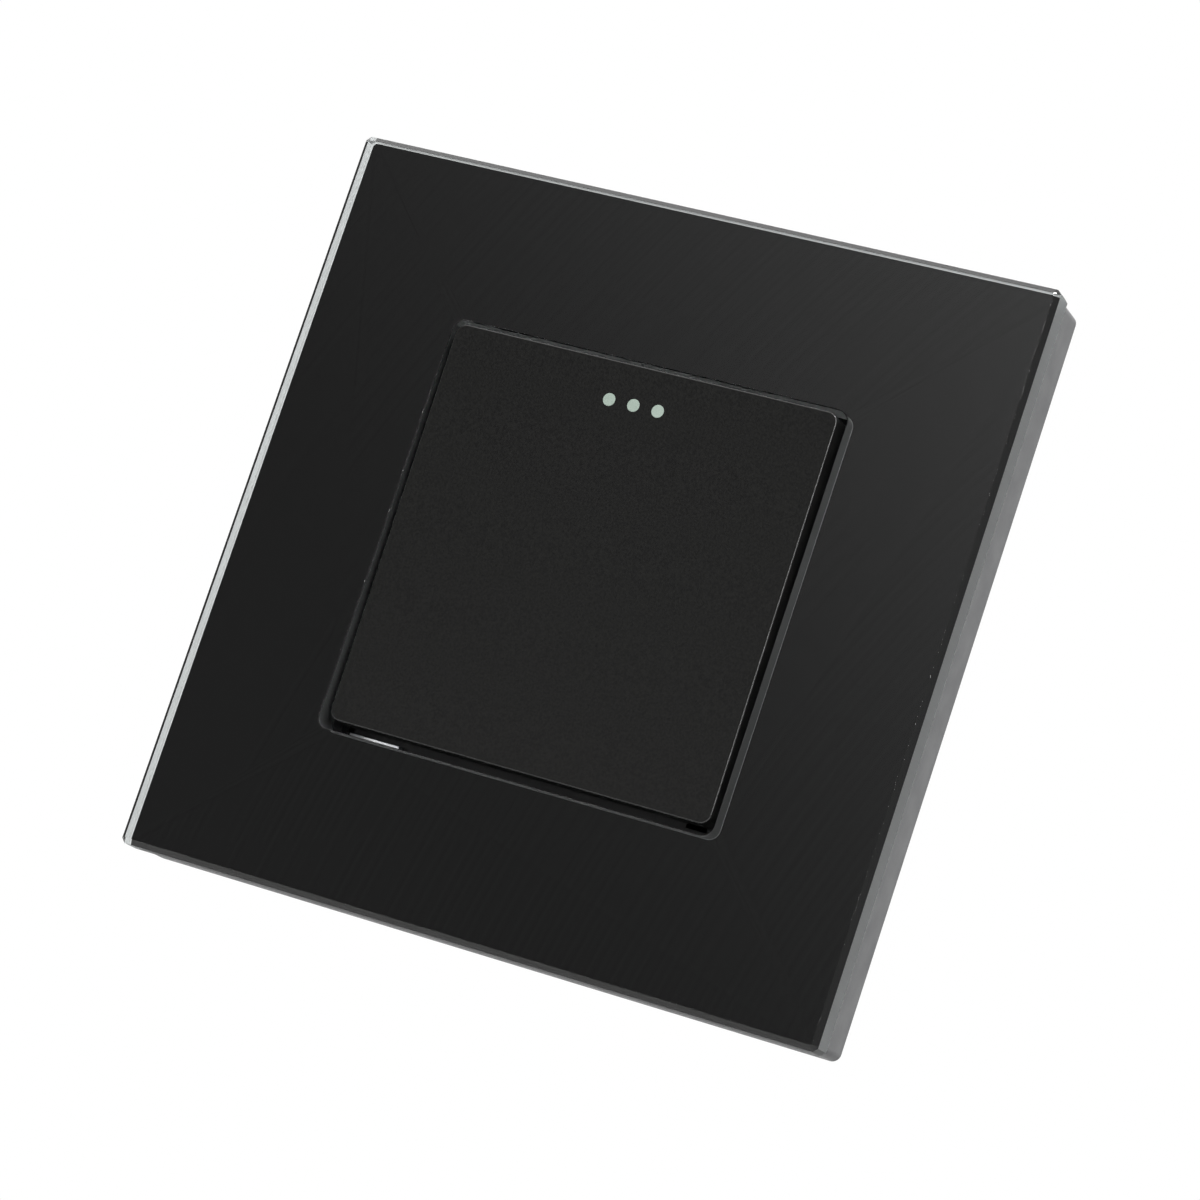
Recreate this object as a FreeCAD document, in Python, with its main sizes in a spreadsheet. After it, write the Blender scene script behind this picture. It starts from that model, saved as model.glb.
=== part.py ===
import FreeCAD, Part
import math
import os
import re
import Sketcher
from FreeCAD import Rotation, Vector

# One-gang rocker wall switch with a square glass panel.
# X points right, Y into the wall and Z up. The origin is the centre of the panel on the wall plane,
# so everything in front of the wall has a negative Y. All sizes are in millimetres and degrees.

SIZES = {
    # glass panel with its printed back
    "panel_side": 86.0,
    "glass_thick": 3.7,
    "glass_front_bevel": 0.6,
    "glass_back_bevel": 0.2,
    "glass_corner_cut": 0.5,
    "cutout_side": 48.7,
    "cutout_corner": 1.3,
    "cutout_bevel": 0.1,
    "print_thick": 0.1,
    "print_margin": 0.04,
    "tape_thick": 0.2,
    "tape_margin": 2.0,
    # moulded frame behind the glass
    "frame_depth": 5.2,
    "frame_inset": 0.25,
    "frame_corner": 1.0,
    "frame_plate": 1.6,
    "frame_wall": 1.8,
    "collar_wall": 1.2,
    "collar_clear": 2.7,
    "rib_width": 1.0,
    "rib_height": 1.0,
    "rib_place": 15.0,
    "hook_gap": 0.8,
    "hook_row": 10.0,
    "hook_width": 5.0,
    "hook_thick": 1.4,
    "hook_barb": 0.9,
    "hook_tip": 1.2,
    "hook_play": 0.3,
    "latch_play": 0.1,
    # pressed steel yoke
    "yoke_edge": 2.0,
    "yoke_thick": 0.8,
    "yoke_corner": 3.0,
    "yoke_rim": 1.4,
    "window_side": 39.6,
    "window_corner": 1.5,
    "fixing_pitch": 60.0,
    "fixing_width": 4.2,
    "fixing_run": 2.8,
    # rocker key and the dots that show through it
    "key_gap_side": 0.8,
    "key_gap_end": 0.85,
    "key_corner": 1.3,
    "key_edge": 0.2,
    "key_proud": 0.05,
    "key_rise": 0.45,
    "key_plate": 1.6,
    "key_skirt": 3.4,
    "key_wall": 1.4,
    "dot_radius": 0.74,
    "dot_pitch": 3.0,
    "dot_edge": 4.5,
    "dot_play": 0.02,
    "insert_margin": 0.9,
    "insert_play": 0.15,
    # carrier under the key
    "rest_tilt": 1.45,
    "pivot_ahead": 5.2,
    "carrier_gap": 0.6,
    "carrier_thick": 1.6,
    "carrier_width": 28.0,
    "carrier_height": 32.0,
    "carrier_corner": 2.0,
    "clip_edge_x": 5.0,
    "clip_edge_z": 3.0,
    "clip_width": 4.0,
    "clip_thick": 1.2,
    "clip_barb": 0.5,
    "clip_tip": 0.8,
    "clip_play": 0.25,
    "cheek_thick": 1.6,
    "cheek_width": 5.0,
    "pin_radius": 1.5,
    "pin_length": 3.4,
    "pin_play": 0.05,
    "eye_wall": 0.3,
    "side_play": 0.4,
    "finger_reach": 12.0,
    "finger_width": 5.0,
    "fork_wall": 1.2,
    "fork_over": 1.2,
    "fork_width": 3.2,
    "nose_radius": 1.0,
    "nose_play": 0.12,
    # cover that carries the bearings
    "flange_lap": 2.2,
    "flange_thick": 2.2,
    "flange_corner": 1.0,
    "tongue_step": 3.7,
    "tongue_gap": 0.6,
    "tongue_thick": 0.6,
    "spigot_play": 0.3,
    "spigot_wall": 1.5,
    "spigot_depth": 3.8,
    "lug_thick": 3.0,
    "lug_wall": 1.45,
    "lug_nose": 0.35,
    "finger_play": 1.7,
    "bracket_thick": 2.0,
    "bracket_wall": 1.55,
    "bracket_end": 0.95,
    "post_side": 5.4,
    "post_play": 0.2,
    # swing arm with its plunger and spring
    "short_arm": 3.0,
    "hub_wall": 0.3,
    "hub_width": 7.2,
    "arm_pin_radius": 1.2,
    "arm_pin_length": 2.2,
    "web_thick": 1.4,
    "tube_start": 1.4,
    "tube_wall": 0.7,
    "bore_radius": 2.1,
    "bore_start": 2.5,
    "cup_play": 0.08,
    "slide_room": 0.8,
    "cup_wall": 0.5,
    "cup_floor": 0.6,
    "cup_length": 3.2,
    "cup_out": 0.5,
    "tip_radius": 1.0,
    "tip_round": 0.8,
    "tip_length": 1.1,
    "spring_wire": 0.32,
    "spring_play": 0.12,
    "spring_turns": 3.5,
    # see-saw contact blade
    "blade_tilt": 5.0,
    "blade_width": 5.0,
    "blade_thick": 0.6,
    "contact_arm": 9.0,
    "blade_over": 2.0,
    "saddle_radius": 0.6,
    "knife_radius": 0.5,
    "tip_gap": 0.1,
    "contact_radius": 1.5,
    "moving_proud": 0.8,
    "fixed_proud": 0.7,
    "contact_gap": 0.06,
    "rivet_radius": 0.7,
    "rivet_play": 0.03,
    # brass strips and terminal cages
    "strip_thick": 0.8,
    "strip_width": 3.8,
    "strip_tail": 2.5,
    "knife_width": 4.0,
    "terminal_edge": 5.4,
    "cage_width": 8.0,
    "cage_height": 8.0,
    "cage_depth": 7.4,
    "cage_wall": 1.0,
    "cage_thread_wall": 2.0,
    "cage_play": 0.2,
    "leg_gap": 0.1,
    "clamp_radius": 1.75,
    "clamp_head_radius": 2.7,
    "clamp_head_thick": 1.3,
    "thread_play": 0.05,
    "head_play": 0.3,
    "slot_width": 0.8,
    "slot_depth": 0.7,
    "wire_radius": 1.75,
    # rear housing and its long screws
    "base_lip": 1.2,
    "base_corner": 4.0,
    "base_floor": 1.8,
    "base_back_edge": 0.8,
    "recess_play": 0.1,
    "cavity_side": 2.0,
    "cavity_end": 2.0,
    "channel_play": 0.3,
    "screw_edge": 2.8,
    "screw_radius": 1.1,
    "screw_bite": 2.2,
    "screw_head_radius": 2.3,
    "screw_head_thick": 1.6,
    "screw_sink": 1.9,
    "cross_reach": 1.4,
    "boss_wall": 1.3,
}

# planes that follow from the stack, from the wall towards the room
FRAME_FRONT = "(-frame_depth)"
TAPE_FRONT = f"({FRAME_FRONT} - tape_thick)"
PRINT_FRONT = f"({TAPE_FRONT} - print_thick)"
GLASS_FRONT = f"({PRINT_FRONT} - glass_thick)"
YOKE_FRONT = "(-yoke_thick)"
KEY_FRONT = f"({GLASS_FRONT} - key_proud)"
KEY_BACK = f"({KEY_FRONT} + key_plate)"
CARRIER_FRONT = f"({KEY_BACK} + carrier_gap)"
CARRIER_BACK = f"({CARRIER_FRONT} + carrier_thick)"
FLANGE_FRONT = f"({YOKE_FRONT} - flange_thick)"
SPIGOT_BACK = f"({YOKE_FRONT} + spigot_depth)"

# the three axes of the mechanism, one behind the other
ROCKER_AXIS = "(-pivot_ahead)"
FORK_LEVEL = f"({ROCKER_AXIS} + finger_reach)"
SWING_AXIS = f"({FORK_LEVEL} + short_arm)"
CUP_START = "(bore_start + slide_room)"
CUP_END = f"({CUP_START} + cup_length)"
TUBE_END = f"({CUP_END} - cup_out)"
TIP_REACH = f"({CUP_END} + tip_length)"
SADDLE_OUTSIDE = "(saddle_radius + blade_thick)"
BLADE_AXIS = f"({SWING_AXIS} + {TIP_REACH} + tip_gap + {SADDLE_OUTSIDE})"
SWING_TILT = "(-rest_tilt * finger_reach / short_arm)"

# levels behind the blade, where the moving contact's outer edge comes down first
CLOSED_TRAVEL = "((contact_arm + contact_radius) * sin(blade_tilt) + moving_proud * cos(blade_tilt))"
FIXED_FACE = f"({BLADE_AXIS} + {CLOSED_TRAVEL} + contact_gap)"
STRIP_FRONT = f"({FIXED_FACE} + fixed_proud)"
FLOOR_FRONT = f"({STRIP_FRONT} + strip_thick)"
BASE_BACK = f"({FLOOR_FRONT} + base_floor)"
CAGE_FRONT = f"({STRIP_FRONT} - cage_play - cage_depth)"
CLAMP_LEVEL = f"({CAGE_FRONT} + cage_depth / 2)"

# outlines and places seen from the front, from the cut-out to the housing
KEY_WIDTH = "(cutout_side - 2 * key_gap_side)"
KEY_HEIGHT = "(cutout_side - 2 * key_gap_end)"
DOT_ROW = f"({KEY_HEIGHT} / 2 + key_rise - dot_edge)"
CLIP_X = "(carrier_width / 2 - clip_edge_x)"
CLIP_Z = "(carrier_height / 2 - clip_edge_z)"
HOOK_PLACE = "(cutout_side / 2 + collar_wall + hook_gap)"
YOKE_SIDE = "(fixing_pitch + fixing_width + fixing_run + 2 * yoke_edge)"
FLANGE_SIDE = "(window_side + 2 * flange_lap)"
SPIGOT_SIDE = "(window_side - 2 * spigot_play)"
BASE_SIDE = "(window_side + 2 * base_lip)"
SCREW_PLACE = "(window_side / 2 - screw_edge)"
BOSS_RADIUS = "(screw_radius + boss_wall)"
LUG_START = "(carrier_width / 2 + side_play)"
BRACKET_START = "(hub_width / 2 + side_play)"
CAVITY_X = f"({BRACKET_START} + bracket_thick + cavity_side)"
CAVITY_Z = "(contact_arm + blade_over + cavity_end)"
TERMINAL_PLACE = f"({BASE_SIDE} / 2 - terminal_edge)"
CAGE_NEAR = f"({TERMINAL_PLACE} - cage_width / 2)"
CAGE_FAR = f"({TERMINAL_PLACE} + cage_width / 2)"
LEG_START = f"({CAGE_NEAR} + cage_wall + leg_gap)"
WIRE_PLACE = f"(({LEG_START} + strip_thick + {CAGE_FAR} - cage_thread_wall) / 2)"

SIDES = (1, -1)
CORNERS = {"upper_right": (1, 1), "upper_left": (-1, 1), "lower_right": (1, -1), "lower_left": (-1, -1)}
TERMINALS = {"common": (-1, 1), "upper": (1, 1), "lower": (1, -1)}
FRONT_VIEW = "XZ_Plane"
TOP_VIEW = "XY_Plane"
SIDE_VIEW = "YZ_Plane"
TINY = 1e-6

document = FreeCAD.newDocument("wall_switch")
sheet = document.addObject("Spreadsheet::Sheet", "sizes")
for line, (alias, size) in enumerate(SIZES.items(), start=1):
    sheet.set(f"A{line}", alias)
    sheet.set(f"B{line}", str(size))
    sheet.setAlias(f"B{line}", alias)
document.recompute()


def named(text):
    """The expression with every size read from the sheet."""
    return re.sub(r"[a-z_]+", lambda word: f"sizes.{word[0]}" if word[0] in SIZES else word[0], text)


def number(text):
    """The expression's present value."""
    result = sheet.evalExpression(named(text))
    return float(getattr(result, "Value", result))


def new_body(label):
    body = document.addObject("PartDesign::Body", label)
    body.Label = label
    body.AllowCompound = True
    return body


def sketch(body, name, level, view=FRONT_VIEW):
    """An empty sketch on the body's own origin plane, moved to a level along Y, Z or X."""
    drawing = body.newObject("Sketcher::SketchObject", f"{body.Label}_{name}")
    plane = [feature for feature in body.Origin.OriginFeatures if feature.Role == view][0]
    drawing.AttachmentSupport = [(plane, "")]
    drawing.MapMode = "FlatFace"
    facing = "-1 * " if view == FRONT_VIEW else ""
    drawing.setExpression("AttachmentOffset.Base.z", named(f"{facing}({level})"))
    return drawing


def hold(drawing, kind, where, text):
    """A dimension in the sketch that stays tied to the sheet."""
    index = drawing.addConstraint(Sketcher.Constraint(kind, *where, number(text)))
    drawing.setExpression(f"Constraints[{index}]", named(text))


def hold_point(drawing, edge, end, across, up):
    hold(drawing, "DistanceX", (-1, 1, edge, end), across)
    hold(drawing, "DistanceY", (-1, 1, edge, end), up)


def outline(drawing, points):
    """A closed outline of straight edges through points of two expressions each."""
    corners = [Vector(number(across), number(up), 0) for across, up in points]
    first = drawing.GeometryCount
    count = len(points)
    for step in range(count):
        drawing.addGeometry(Part.LineSegment(corners[step], corners[(step + 1) % count]))
    for step in range(count):
        following = first + (step + 1) % count
        drawing.addConstraint(Sketcher.Constraint("Coincident", first + step, 2, following, 1))
    for step, (across, up) in enumerate(points):
        hold_point(drawing, first + step, 1, across, up)


def rectangle(drawing, left, right, bottom, top):
    outline(drawing, [(left, bottom), (right, bottom), (right, top), (left, top)])


def circle(drawing, across, up, radius):
    centre = Vector(number(across), number(up), 0)
    edge = drawing.addGeometry(Part.Circle(centre, Vector(0, 0, 1), number(radius)))
    hold(drawing, "Radius", (edge,), radius)
    hold_point(drawing, edge, 3, across, up)


def rounded_rectangle(drawing, width, height, radius, across="0", up="0"):
    """A centred rectangle whose corners are tangent arcs."""
    bend = number(radius)
    run = number(width) / 2 - bend
    climb = number(height) / 2 - bend
    arcs = []
    for quarter, (x, y) in enumerate(((run, climb), (-run, climb), (-run, -climb), (run, -climb))):
        centre = Vector(number(across) + x, number(up) + y, 0)
        turns = [Rotation(Vector(0, 0, 1), 90 * quarter + turn) for turn in (0, 45, 90)]
        places = [centre + turn.multVec(Vector(bend, 0, 0)) for turn in turns]
        arcs.append(drawing.addGeometry(Part.Arc(*places)))
    lines = []
    for quarter in range(4):
        start = drawing.getPoint(arcs[quarter], 2)
        end = drawing.getPoint(arcs[(quarter + 1) % 4], 1)
        lines.append(drawing.addGeometry(Part.LineSegment(start, end)))
    for quarter in range(4):
        drawing.addConstraint(Sketcher.Constraint("Tangent", arcs[quarter], 2, lines[quarter], 1))
        drawing.addConstraint(Sketcher.Constraint("Tangent", lines[quarter], 2, arcs[(quarter + 1) % 4], 1))
        direction = "Horizontal" if quarter % 2 == 0 else "Vertical"
        drawing.addConstraint(Sketcher.Constraint(direction, lines[quarter]))
    for quarter in range(1, 4):
        drawing.addConstraint(Sketcher.Constraint("Equal", arcs[0], arcs[quarter]))
    hold(drawing, "Radius", (arcs[0],), radius)
    hold(drawing, "DistanceY", (-1, 1, lines[0], 1), f"{up} + ({height}) / 2")
    hold(drawing, "DistanceY", (-1, 1, lines[2], 1), f"{up} - ({height}) / 2")
    hold(drawing, "DistanceX", (-1, 1, lines[1], 1), f"{across} - ({width}) / 2")
    hold(drawing, "DistanceX", (-1, 1, lines[3], 1), f"{across} + ({width}) / 2")


def pad(body, drawing, length):
    """Adds the drawing's area, towards the back, up or right of its level."""
    feature = body.newObject("PartDesign::Pad", f"{drawing.Name}_pad")
    feature.Profile = drawing
    feature.setExpression("Length", named(length))
    feature.Reversed = drawing.AttachmentSupport[0][0].Role == FRONT_VIEW
    document.recompute()
    return feature


def pocket(body, drawing, length):
    """Cuts the drawing's area away, towards the back, up or right of its level."""
    before = body.Shape.Volume
    feature = body.newObject("PartDesign::Pocket", f"{drawing.Name}_pocket")
    feature.Profile = drawing
    feature.setExpression("Length", named(length))
    feature.Reversed = drawing.AttachmentSupport[0][0].Role != FRONT_VIEW
    document.recompute()
    if feature.Shape.Volume > before - TINY:
        raise ValueError(f"{feature.Name} cuts nothing")
    return feature


def dress(body, kind, size, chosen):
    """A fillet or chamfer on the edges that the test chooses."""
    base = body.Tip
    names = [f"Edge{index}" for index, edge in enumerate(base.Shape.Edges, start=1) if chosen(edge)]
    feature = body.newObject(f"PartDesign::{kind}", f"{body.Label}_{kind.lower()}_{len(body.Group)}")
    feature.Base = (base, names)
    feature.setExpression("Radius" if kind == "Fillet" else "Size", named(size))
    document.recompute()
    return feature


def in_ring(level, inner, outer):
    """Chooses the edges that lie at a level along Y, with their middle between two half widths."""
    depth = number(level)
    least = number(inner)
    most = number(outer)

    def chosen(edge):
        box = edge.BoundBox
        reach = max(abs(box.Center.x), abs(box.Center.z))
        return abs(box.YMin - depth) < TINY and abs(box.YMax - depth) < TINY and least < reach < most

    return chosen


def tilt(piece, axis_level, angle):
    """Turns a piece about an axis along X that passes through a level on the Y axis."""
    piece.Placement.Rotation = Rotation(Vector(1, 0, 0), number(angle))
    piece.setExpression("Placement.Rotation.Angle", named(f"({angle}) * 1 deg"))
    piece.setExpression("Placement.Base.y", named(f"{axis_level} * (1 - cos({angle})) * 1 mm"))
    piece.setExpression("Placement.Base.z", named(f"-1 * {axis_level} * sin({angle}) * 1 mm"))


def make_glass_panel():
    body = new_body("glass_panel")
    half = "panel_side / 2"
    short = "(panel_side / 2 - glass_corner_cut)"
    face = sketch(body, "outline", GLASS_FRONT)
    outline(face, [
        (f"-{half}", f"-{short}"), (f"-{short}", f"-{half}"), (short, f"-{half}"), (half, f"-{short}"),
        (half, short), (short, half), (f"-{short}", half), (f"-{half}", short)])
    pad(body, face, "glass_thick")
    opening = sketch(body, "cutout", GLASS_FRONT)
    rounded_rectangle(opening, "cutout_side", "cutout_side", "cutout_corner")
    pocket(body, opening, "glass_thick")
    between = "(cutout_side + panel_side) / 4"
    dress(body, "Chamfer", "glass_front_bevel", in_ring(GLASS_FRONT, between, "panel_side"))
    dress(body, "Chamfer", "glass_back_bevel", in_ring(PRINT_FRONT, between, "panel_side"))
    dress(body, "Chamfer", "cutout_bevel", in_ring(GLASS_FRONT, "0", between))
    return body


def make_back_print():
    body = new_body("back_print")
    side = "(panel_side - 2 * (glass_back_bevel + print_margin))"
    face = sketch(body, "outline", PRINT_FRONT)
    rounded_rectangle(face, side, side, "glass_corner_cut")
    opening = "(cutout_side + 2 * print_margin)"
    rounded_rectangle(face, opening, opening, "(cutout_corner + print_margin)")
    pad(body, face, "print_thick")
    return body


def make_adhesive_tape():
    body = new_body("adhesive_tape")
    face = sketch(body, "outline", TAPE_FRONT)
    side = "(panel_side - 2 * tape_margin)"
    rounded_rectangle(face, side, side, "cutout_corner")
    opening = "(cutout_side + 2 * tape_margin)"
    rounded_rectangle(face, opening, opening, "(cutout_corner + tape_margin)")
    pad(body, face, "tape_thick")
    return body


def make_panel_frame():
    body = new_body("panel_frame")
    side = "(panel_side - 2 * frame_inset)"
    plate_back = f"({FRAME_FRONT} + frame_plate)"
    shell = sketch(body, "outline", FRAME_FRONT)
    rounded_rectangle(shell, side, side, "frame_corner")
    pad(body, shell, "frame_depth")
    hollow = sketch(body, "hollow", plate_back)
    inside = f"({side} - 2 * frame_wall)"
    rounded_rectangle(hollow, inside, inside, "max(frame_corner - frame_wall; frame_corner / 2)")
    collar = "(cutout_side + 2 * collar_wall)"
    rounded_rectangle(hollow, collar, collar, "(cutout_corner + collar_wall)")
    pocket(body, hollow, "frame_depth - frame_plate")
    opening = sketch(body, "opening", FRAME_FRONT)
    rounded_rectangle(opening, "cutout_side", "cutout_side", "cutout_corner")
    pocket(body, opening, "frame_depth")
    relief = sketch(body, "relief", "(-collar_clear)")
    rounded_rectangle(relief, f"({collar} + frame_wall)", f"({collar} + frame_wall)", "cutout_corner")
    pocket(body, relief, "collar_clear")
    ribs = sketch(body, "ribs", plate_back)
    near = f"({collar} / 2 - collar_wall / 2)"
    far = f"({inside} / 2 + frame_wall / 2)"
    for side_sign in SIDES:
        for place in SIDES:
            low = f"({place} * rib_place - rib_width / 2)"
            high = f"({place} * rib_place + rib_width / 2)"
            start, end = (near, far) if side_sign > 0 else (f"-{far}", f"-{near}")
            rectangle(ribs, start, end, low, high)
            rectangle(ribs, low, high, start, end)
    pad(body, ribs, "rib_height")
    for name, (side_sign, row) in CORNERS.items():
        add_hook(body, name, side_sign, row)
    return body


def add_hook(body, name, side_sign, row):
    """A snap hook that reaches through the yoke and latches behind it."""
    root = f"({FRAME_FRONT} + frame_plate / 2)"
    end = "(latch_play + hook_tip)"
    face = sketch(body, f"hook_{name}", f"({row} * hook_row - hook_width / 2)", TOP_VIEW)
    inner = f"{side_sign} * {HOOK_PLACE}"
    outer = f"{side_sign} * ({HOOK_PLACE} + hook_thick)"
    barb = f"{side_sign} * ({HOOK_PLACE} + hook_thick + hook_barb)"
    outline(face, [(inner, root), (outer, root), (outer, "latch_play"), (barb, "latch_play"),
                   (outer, end), (inner, end)])
    pad(body, face, "hook_width")


def make_mounting_yoke():
    body = new_body("mounting_yoke")
    face = sketch(body, "outline", YOKE_FRONT)
    rounded_rectangle(face, YOKE_SIDE, YOKE_SIDE, "yoke_corner")
    rounded_rectangle(face, "window_side", "window_side", "window_corner")
    pad(body, face, "yoke_thick")
    rim = sketch(body, "rim", f"({YOKE_FRONT} - yoke_rim)")
    inside = f"({YOKE_SIDE} - 2 * yoke_thick)"
    rounded_rectangle(rim, YOKE_SIDE, YOKE_SIDE, "yoke_corner")
    rounded_rectangle(rim, inside, inside, "(yoke_corner - yoke_thick)")
    pad(body, rim, "yoke_rim")
    slots = sketch(body, "slots", YOKE_FRONT)
    for sign in SIDES:
        place = f"{sign} * fixing_pitch / 2"
        add_slot(slots, place, "0", True)
        add_slot(slots, "0", place, False)
    for side_sign, row in CORNERS.values():
        middle = f"{side_sign} * ({HOOK_PLACE} + hook_thick / 2)"
        width = "(hook_thick / 2 + hook_play)"
        height = "(hook_width / 2 + hook_play)"
        rectangle(slots, f"{middle} - {width}", f"{middle} + {width}",
                  f"{row} * hook_row - {height}", f"{row} * hook_row + {height}")
    pocket(body, slots, "yoke_thick")
    return body


def add_slot(drawing, across, up, level):
    """A round-ended slot with its middle at a place, lying level or upright."""
    reach = "(fixing_run / 2)"
    half = "fixing_width / 2"
    x, y = number(across), number(up)
    bend, run = number(half), number(reach)
    turn = Rotation(Vector(0, 0, 1), 0 if level else 90)

    def at(along, beside):
        return Vector(x, y, 0) + turn.multVec(Vector(along, beside, 0))

    right = drawing.addGeometry(Part.Arc(at(run, -bend), at(run + bend, 0), at(run, bend)))
    upper = drawing.addGeometry(Part.LineSegment(at(run, bend), at(-run, bend)))
    left = drawing.addGeometry(Part.Arc(at(-run, bend), at(-run - bend, 0), at(-run, -bend)))
    lower = drawing.addGeometry(Part.LineSegment(at(-run, -bend), at(run, -bend)))
    loop = (right, upper, left, lower)
    for step in range(4):
        drawing.addConstraint(Sketcher.Constraint("Tangent", loop[step], 2, loop[(step + 1) % 4], 1))
    drawing.addConstraint(Sketcher.Constraint("Horizontal" if level else "Vertical", upper))
    drawing.addConstraint(Sketcher.Constraint("Equal", right, left))
    hold(drawing, "Radius", (right,), half)
    if level:
        hold_point(drawing, right, 3, f"{across} + {reach}", up)
        hold(drawing, "DistanceX", (-1, 1, left, 3), f"{across} - {reach}")
    else:
        hold_point(drawing, right, 3, across, f"{up} + {reach}")
        hold(drawing, "DistanceY", (-1, 1, left, 3), f"{up} - {reach}")


def dot_places():
    return [f"{step} * dot_pitch" for step in (-1, 0, 1)]


def make_rocker_key():
    body = new_body("rocker_key")
    face = sketch(body, "outline", KEY_FRONT)
    rounded_rectangle(face, KEY_WIDTH, KEY_HEIGHT, "key_corner", up="key_rise")
    pad(body, face, "key_skirt")
    hollow = sketch(body, "hollow", KEY_BACK)
    rounded_rectangle(hollow, f"({KEY_WIDTH} - 2 * key_wall)", f"({KEY_HEIGHT} - 2 * key_wall)",
                      "max(key_corner - key_wall; key_corner / 4)", up="key_rise")
    pocket(body, hollow, "key_skirt - key_plate")
    dress(body, "Fillet", "key_edge", in_ring(KEY_FRONT, "0", KEY_WIDTH))
    holes = sketch(body, "dots", KEY_FRONT)
    for place in dot_places():
        circle(holes, place, DOT_ROW, "dot_radius + dot_play")
    pocket(body, holes, "key_plate")
    ribs = sketch(body, "ribs", KEY_BACK)
    width = "(carrier_width / 2 - carrier_corner)"
    for row in SIDES:
        middle = f"{row} * ({CLIP_Z} - clip_thick - cheek_width / 2)"
        rectangle(ribs, f"-{width}", width, f"{middle} - cheek_thick / 2", f"{middle} + cheek_thick / 2")
    pad(body, ribs, "carrier_gap")
    for name, (side_sign, row) in CORNERS.items():
        add_clip(body, name, side_sign, row)
    tilt(body, ROCKER_AXIS, "rest_tilt")
    return body


def add_clip(body, name, side_sign, row):
    """A snap leg under the key that hooks behind the carrier."""
    face = sketch(body, f"clip_{name}", f"({side_sign} * {CLIP_X} - clip_width / 2)", SIDE_VIEW)
    root = f"({KEY_BACK} - key_plate / 4)"
    inner = f"{row} * ({CLIP_Z} - clip_thick / 2)"
    outer = f"{row} * ({CLIP_Z} + clip_thick / 2)"
    barb = f"{row} * ({CLIP_Z} + clip_thick / 2 + clip_barb)"
    catch = f"({CARRIER_BACK} + latch_play)"
    end = f"({catch} + clip_tip)"
    outline(face, [(root, inner), (root, outer), (catch, outer), (catch, barb), (end, outer), (end, inner)])
    pad(body, face, "clip_width")


def make_dot_insert():
    body = new_body("dot_insert")
    studs = sketch(body, "studs", KEY_FRONT)
    for place in dot_places():
        circle(studs, place, DOT_ROW, "dot_radius")
    pad(body, studs, "key_plate")
    bar = sketch(body, "bar", KEY_BACK)
    height = "(2 * (dot_radius + insert_margin))"
    rounded_rectangle(bar, f"(2 * dot_pitch + {height})", height, "dot_radius", up=DOT_ROW)
    pad(body, bar, "carrier_gap - insert_play")
    tilt(body, ROCKER_AXIS, "rest_tilt")
    return body


def make_rocker_carrier():
    body = new_body("rocker_carrier")
    plate = sketch(body, "plate", CARRIER_FRONT)
    rounded_rectangle(plate, "carrier_width", "carrier_height", "carrier_corner")
    pad(body, plate, "carrier_thick")
    slots = sketch(body, "clip_slots", CARRIER_FRONT)
    for side_sign, row in CORNERS.values():
        width = "(clip_width / 2 + clip_play)"
        height = "(clip_thick / 2 + clip_play)"
        rectangle(slots, f"{side_sign} * {CLIP_X} - {width}", f"{side_sign} * {CLIP_X} + {width}",
                  f"{row} * {CLIP_Z} - {height}", f"{row} * {CLIP_Z} + {height}")
    pocket(body, slots, "carrier_thick")
    root = f"({CARRIER_BACK} - carrier_thick / 2)"
    for name, start in (("right", "(carrier_width / 2 - cheek_thick)"), ("left", "(-carrier_width / 2)")):
        cheek = sketch(body, f"cheek_{name}", start, SIDE_VIEW)
        rectangle(cheek, root, ROCKER_AXIS, "-cheek_width / 2", "cheek_width / 2")
        pad(body, cheek, "cheek_thick")
        round_end = sketch(body, f"eye_{name}", start, SIDE_VIEW)
        circle(round_end, ROCKER_AXIS, "0", "pin_radius + eye_wall")
        pad(body, round_end, "cheek_thick")
        pin = sketch(body, f"pin_{name}", start if name == "right" else f"({start} - pin_length)", SIDE_VIEW)
        circle(pin, ROCKER_AXIS, "0", "pin_radius")
        pad(body, pin, "pin_length + cheek_thick")
    stem_half = "(nose_radius + nose_play + fork_wall)"
    stem = sketch(body, "stem", root)
    rectangle(stem, "-finger_width / 2", "finger_width / 2", f"-{stem_half}", stem_half)
    pad(body, stem, f"{FORK_LEVEL} + fork_over - {root}")
    gap = sketch(body, "fork_gap", f"({FORK_LEVEL} - nose_radius - nose_play)")
    open_half = "(nose_radius + nose_play)"
    rectangle(gap, "-finger_width", "finger_width", f"-{open_half}", open_half)
    pocket(body, gap, "nose_radius + nose_play + 2 * fork_over")
    tilt(body, ROCKER_AXIS, "rest_tilt")
    return body


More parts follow.
